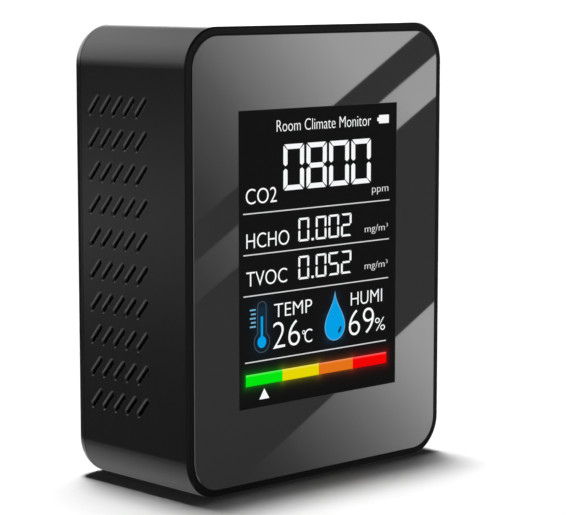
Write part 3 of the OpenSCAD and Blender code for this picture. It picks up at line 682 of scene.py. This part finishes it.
LOOKS = {
    shell_plastic(): ["housing", "back_cover"],
    glossy_panel(): ["front_panel"],
    lens_material(): ["screen_lens"],
    moulded("button_plastic", (0.035, 0.035, 0.036), 0.36): ["power_button"],
    moulded("inner_black_plastic", (0.016, 0.016, 0.016), 0.5): [
        "tvoc_sensor_base", "link_header", "link_socket", "usb_port_tongue", "switch_body",
        "switch_plunger"],
    moulded("inner_white_plastic", (0.78, 0.78, 0.75), 0.45): [
        "backlight_frame", "hcho_sensor_can", "humidity_sensor"],
    moulded("connector_plastic", (0.72, 0.66, 0.5), 0.45): [
        "flex_connector", "battery_plug", "battery_socket"],
    moulded("chip_body", (0.02, 0.02, 0.022), 0.55, 3000.0): [
        "display_driver_chip", "controller_chip", "memory_chip", "charger_chip"],
    moulded("tape_foam", (0.02, 0.02, 0.02), 0.85, 1400.0, 0.5): ["panel_tape"],
    moulded("pad_foam", (0.05, 0.05, 0.05), 0.9, 1200.0, 0.7): ["battery_pad"],
    moulded("amber_tape", (0.55, 0.3, 0.03), 0.25, 300.0, 0.15): ["battery_circuit_end"],
    moulded("amber_film", (0.42, 0.19, 0.03), 0.22, 900.0, 0.05): ["display_flex"],
    moulded("wire_red", (0.45, 0.015, 0.012), 0.45, 900.0): ["battery_lead_red"],
    moulded("wire_black", (0.012, 0.012, 0.012), 0.45, 900.0): ["battery_lead_black"],
    moulded("lamp_resin", (0.85, 0.75, 0.3), 0.2, 900.0): ["backlight_leds"],
    moulded("capacitor_ceramic", (0.33, 0.2, 0.1), 0.5, 2500.0): ["board_capacitors"],
    moulded("polariser_film", (0.02, 0.02, 0.025), 0.15, 400.0, 0.02): ["display_polariser"],
    clear_sheet("display_cell", IOR=1.5): ["display_glass"],
    clear_sheet("clear_acrylic", IOR=1.49, Transmission_Weight=0.6): ["light_guide"],
    metal("zinc_screw", (0.6, 0.6, 0.58)): ["main_board_screws", "power_board_screws"],
    metal("blackened_steel", (0.10, 0.10, 0.105), 0.34): ["case_screws"],
    metal("bright_steel", (0.66, 0.66, 0.65), 0.22): ["tvoc_sensor_cap", "usb_port_shell", "switch_cover"],
    metal("gold_plate", (0.78, 0.56, 0.22), 0.3): ["co2_sensor_pins", "co2_sensor_chamber"],
    circuit("green_board", (0.01, 0.11, 0.045), (0.02, 0.2, 0.07)): ["main_board", "power_board"],
    circuit("blue_board", (0.01, 0.04, 0.16), (0.02, 0.09, 0.26)): ["co2_sensor_board"],
    porous("white_membrane", (0.82, 0.82, 0.8)): ["co2_sensor_filters", "hcho_sensor_filter"],
    crinkled_foil("cell_foil", (0.62, 0.63, 0.65)): ["battery_cell"],
}
for look, names in LOOKS.items():
    for name in names:
        mesh = NODES[name].data
        mesh.materials.clear()
        mesh.materials.append(look)

# ---------------------------------------------------------------- floor and overhead lights

FLOOR_HALF_WIDTH = 12.0  # metres
FLOOR_DROP = 0.02 * MM

floor_mesh = bpy.data.meshes.new("floor")
made = bmesh.new()
bmesh.ops.create_grid(made, x_segments=8, y_segments=8, size=FLOOR_HALF_WIDTH)
made.to_mesh(floor_mesh)
made.free()
floor = bpy.data.objects.new("floor", floor_mesh)
floor.location.z = -FLOOR_DROP
SCENE.collection.objects.link(floor)


def floor_build(tree, shader):
    soft = tree.noise(tree.where(), 3.0, 2.0)
    tone = tree.mix(soft, rgba((0.86, 0.86, 0.86)), rgba((0.88, 0.88, 0.88)))
    tree.links.new(tone, shader.inputs["Base Color"])


floor_mesh.materials.append(surface("floor_white", floor_build, Roughness=0.9, Specular_IOR_Level=0.0))
floor.visible_glossy = False


def overhead(name, energy, angle, direction):
    """A soft light far above the object. angle is how wide it looks, and direction points to it."""
    data = bpy.data.lights.new(name, "SUN")
    data.energy = energy
    data.angle = math.radians(angle)
    light = bpy.data.objects.new(name, data)
    light.rotation_euler = Vector(direction).to_track_quat("Z", "Y").to_euler()
    light.visible_glossy = False
    SCENE.collection.objects.link(light)


overhead("overhead_light", 2.15, 9.5, (0.044, 0.148, 1.0))
overhead("overhead_fill", 1.75, 20.0, (0.141, 0.18, 1.0))

# ---------------------------------------------------------------- the room

# The room is white to the eye, faint to matt surfaces, and has a studio's soft boxes for what shines.
world = bpy.data.worlds.new("studio")
SCENE.world = world
world.use_nodes = True
sky = Tree(world.node_tree)
dx, dy, dz = sky.axes(sky.new("ShaderNodeTexCoord").outputs["Generated"])
MATT_LIGHT = 0.02


def flip(mask):
    """0 where the mask is 1, and 1 where it is 0."""
    return sky.math("SUBTRACT", 1.0, mask)


# The soft boxes in front are drawn by where a straight line from the mirrored viewpoint through them
# crosses the front panel. across and height are that place in millimetres, from the panel's middle.
PANEL_SHINE = 0.165  # how much of the light the panel reflects at the camera's angle
MIRROR_X = CAMERA_PLACE[0] / MM
MIRROR_Z = (CAMERA_PLACE[2] - (cad_box[0][2] + cad_box[1][2]) / 2) / MM
REACH = (cad_box[0][1] - CAMERA_PLACE[1]) / MM
LINE_BLUR = 0.18
ahead = sky.math("MAXIMUM", sky.product(dy, -1.0), 0.02)
across = sky.math("MULTIPLY_ADD", sky.math("DIVIDE", dx, ahead), REACH, MIRROR_X)
height = sky.math("MULTIPLY_ADD", sky.math("DIVIDE", dz, ahead), REACH, MIRROR_Z)
diagonal = sky.total(across, height)
DIAGONAL_START, DIAGONAL_END = -60.0, 70.0


def above(slope, start):
    """1 above a slanted line on the panel, which is at height start in the middle, and 0 below it."""
    over = sky.math("SUBTRACT", height, sky.math("MULTIPLY_ADD", across, slope, start))
    return sky.share(over, -LINE_BLUR, LINE_BLUR)


def along_diagonal(stops):
    """Tones along the panel's rising diagonal, at values of across plus height."""
    place = sky.share(diagonal, DIAGONAL_START, DIAGONAL_END)
    length = DIAGONAL_END - DIAGONAL_START
    return sky.ramp(place, [((distance - DIAGONAL_START) / length, tone) for distance, tone in stops])


upper_band = sky.product(above(0.567, 24.18), along_diagonal([
    (-30, 0.0), (-16, 0.007), (-2.6, 0.036), (4.6, 0.062), (15, 0.128), (22, 0.168), (31, 0.228),
    (40, 0.28), (52, 0.297)]))
middle_band = sky.product(above(0.5508, 10.25), flip(above(0.5646, 17.62)), along_diagonal([
    (-45, 0.0), (-30, 0.012), (-20, 0.033), (0, 0.082), (20, 0.152), (44, 0.26), (49, 0.281)]))
lower_band = sky.product(flip(above(0.5363, -27.49)), along_diagonal([
    (-60, 0.0), (-50, 0.004), (-42, 0.016), (-32, 0.049), (-24, 0.081), (-15, 0.13), (-6, 0.192),
    (-1, 0.229), (6, 0.268), (12, 0.281)]))
panel_only = sky.product(sky.rise(across, -110.0, -60.0), sky.fall(across, 31.0, 40.0),
                         sky.rise(height, -45.0, -39.0), sky.fall(height, 39.0, 45.0))
bands = sky.product(sky.total(upper_band, middle_band, lower_band), panel_only, sky.fall(dy, -0.3, -0.2),
                    1.0 / PANEL_SHINE)

# The other soft boxes are drawn by direction, where dx, dy and dz run from -1 to 1: an even grey in front,
# two arches, a strip and a wall behind, a wall at the front left, a lamp low on the left, and a box
# straight behind.
CURVE_SCALE = 5.0


def from_left_to_right(stops):
    """Light that changes with dx, from (dx, strength) stops."""
    swing = sky.share(dx, -1.0, 1.0)
    curve = sky.ramp(swing, [((place + 1) / 2, strength / CURVE_SCALE) for place, strength in stops])
    return sky.product(curve, CURVE_SCALE)


front_grey = sky.product(sky.fall(dy, 0.15, 0.45), 0.16)
high_arch = sky.product(sky.rise(dz, -0.02, 0.2), from_left_to_right([
    (-0.74, 1.0), (-0.66, 2.1), (-0.576, 3.4), (-0.432, 4.0), (-0.22, 3.5), (0.05, 2.1), (0.39, 0.75),
    (0.6, 0.35)]))
low_arch = sky.product(sky.fall(dz, -0.38, -0.21), from_left_to_right([
    (-0.72, 0.74), (-0.572, 1.29), (-0.42, 1.57), (-0.22, 1.48), (0.02, 1.02), (0.3, 0.43), (0.58, 0.15)]))
glow_strip = sky.product(sky.rise(dz, -0.14, -0.115), sky.fall(dz, -0.105, -0.08),
                         sky.fall(dx, -0.55, -0.4), 3.4)
far_wall = sky.product(sky.rise(dx, 0.35, 0.55), sky.rise(dz, -0.08, 0.0), sky.fall(dz, 0.2, 0.4), 2.6)
behind = sky.product(sky.rise(dy, 0.2, 0.5), sky.total(high_arch, low_arch, glow_strip, far_wall))
from_near_wall = sky.math("ABSOLUTE", sky.total(dx, 0.72))
near_wall = sky.product(sky.fall(from_near_wall, 0.10, 0.32), sky.fall(dy, -0.6, -0.45), 0.6)
LAMP_AIM = Vector((-0.45, -0.12, -0.88)).normalized()
toward_lamp = sky.total(sky.product(dx, LAMP_AIM.x), sky.product(dy, LAMP_AIM.y),
                        sky.product(dz, LAMP_AIM.z))
low_lamp = sky.product(sky.rise(toward_lamp, 0.94, 0.985), 3.0)
rear_box = sky.product(sky.rise(dy, 0.74, 0.92),
                       sky.total(sky.fall(dz, -0.45, -0.18), sky.rise(dz, 0.05, 0.25)), 1.5)
shine = sky.total(bands, front_grey, behind, near_wall, low_lamp, rear_box)

ray = sky.new("ShaderNodeLightPath").outputs
shine_colour = sky.new("ShaderNodeCombineXYZ", {0: shine, 1: shine, 2: shine}).outputs[0]
glossy = sky.new("ShaderNodeBackground", {"Color": shine_colour, "Strength": 1.0}).outputs[0]
matt = sky.new("ShaderNodeBackground", {"Color": rgba((1, 1, 1)), "Strength": MATT_LIGHT}).outputs[0]
seen = sky.new("ShaderNodeBackground", {"Color": rgba((1, 1, 1)), "Strength": 1.0}).outputs[0]
lighting = sky.new("ShaderNodeMixShader", {0: ray["Is Glossy Ray"], 1: matt, 2: glossy}).outputs[0]
everything = sky.new("ShaderNodeMixShader", {0: ray["Is Camera Ray"], 1: lighting, 2: seen}).outputs[0]
sky.new("ShaderNodeOutputWorld", {0: everything})
